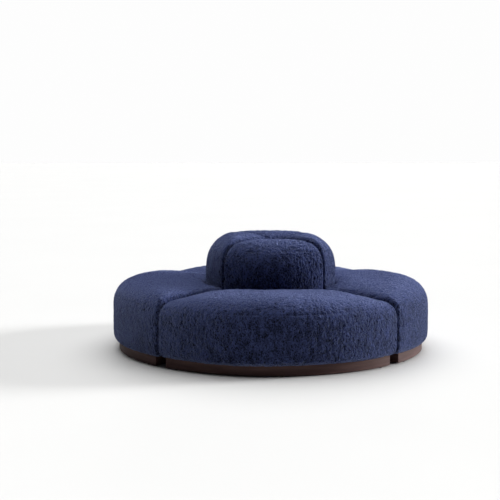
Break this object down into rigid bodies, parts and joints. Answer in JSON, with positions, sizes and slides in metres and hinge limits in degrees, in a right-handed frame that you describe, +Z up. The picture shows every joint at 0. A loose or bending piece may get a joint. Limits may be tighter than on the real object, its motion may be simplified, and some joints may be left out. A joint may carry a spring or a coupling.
{
  "type": "round sofa",
  "caption": "Round modular sofa: quarter seats in dark blue boucle, each with a padded back lobe at its point, on recessed stained wood plinths, clipped together at hidden steel connectors",
  "frame": {"origin": "on the floor, on the upright axis where the seams between the modules cross", "axes": "+Z up, the front module faces -Y, the right module +X, the rear module +Y and the left module -X"},
  "size_m": [2.0058, 2.0058, 0.716],
  "materials": {
    "boucle": "navy looped boucle with a soft curled pile",
    "foam": "cut seating foam",
    "stained_wood": "dark brown stained ash, open grain, matt",
    "plywood": "raw birch plywood",
    "webbing": "woven elastic webbing",
    "felt": "pressed felt",
    "zinc_steel": "zinc plated steel"
  },
  "bodies": {
    "front_module": {"front_seat_cover": "boucle", "front_back_cover": "boucle", "front_seat_foam": "foam", "front_back_foam": "foam", "front_plinth_front": "stained_wood", "front_plinth_sides": "stained_wood", "front_base_frame": "plywood", "front_frame_walls": "plywood", "front_deck_frame": "plywood", "front_back_frame": "plywood", "front_webbing": "webbing", "front_glides": "felt", "front_screws": "zinc_steel", "front_connector_jaw": "zinc_steel", "front_connector_tongue": "zinc_steel"},
    "right_module": {"right_seat_cover": "boucle", "right_back_cover": "boucle", "right_seat_foam": "foam", "right_back_foam": "foam", "right_plinth_front": "stained_wood", "right_plinth_sides": "stained_wood", "right_base_frame": "plywood", "right_frame_walls": "plywood", "right_deck_frame": "plywood", "right_back_frame": "plywood", "right_webbing": "webbing", "right_glides": "felt", "right_screws": "zinc_steel", "right_connector_jaw": "zinc_steel", "right_connector_tongue": "zinc_steel"},
    "rear_module": {"rear_seat_cover": "boucle", "rear_back_cover": "boucle", "rear_seat_foam": "foam", "rear_back_foam": "foam", "rear_plinth_front": "stained_wood", "rear_plinth_sides": "stained_wood", "rear_base_frame": "plywood", "rear_frame_walls": "plywood", "rear_deck_frame": "plywood", "rear_back_frame": "plywood", "rear_webbing": "webbing", "rear_glides": "felt", "rear_screws": "zinc_steel", "rear_connector_jaw": "zinc_steel", "rear_connector_tongue": "zinc_steel"},
    "left_module": {"left_seat_cover": "boucle", "left_back_cover": "boucle", "left_seat_foam": "foam", "left_back_foam": "foam", "left_plinth_front": "stained_wood", "left_plinth_sides": "stained_wood", "left_base_frame": "plywood", "left_frame_walls": "plywood", "left_deck_frame": "plywood", "left_back_frame": "plywood", "left_webbing": "webbing", "left_glides": "felt", "left_screws": "zinc_steel", "left_connector_jaw": "zinc_steel", "left_connector_tongue": "zinc_steel"}
  },
  "joints": [
    {"name": "right_module_slide", "type": "slide", "parent": "front_module", "child": "right_module", "axis": [1, 0, 0], "range_m": [0, 0.35]},
    {"name": "left_module_slide", "type": "slide", "parent": "front_module", "child": "left_module", "axis": [-1, 0, 0], "range_m": [0, 0.35]},
    {"name": "rear_module_slide", "type": "slide", "parent": "front_module", "child": "rear_module", "axis": [0, 1, 0], "range_m": [0, 0.35]}
  ]
}
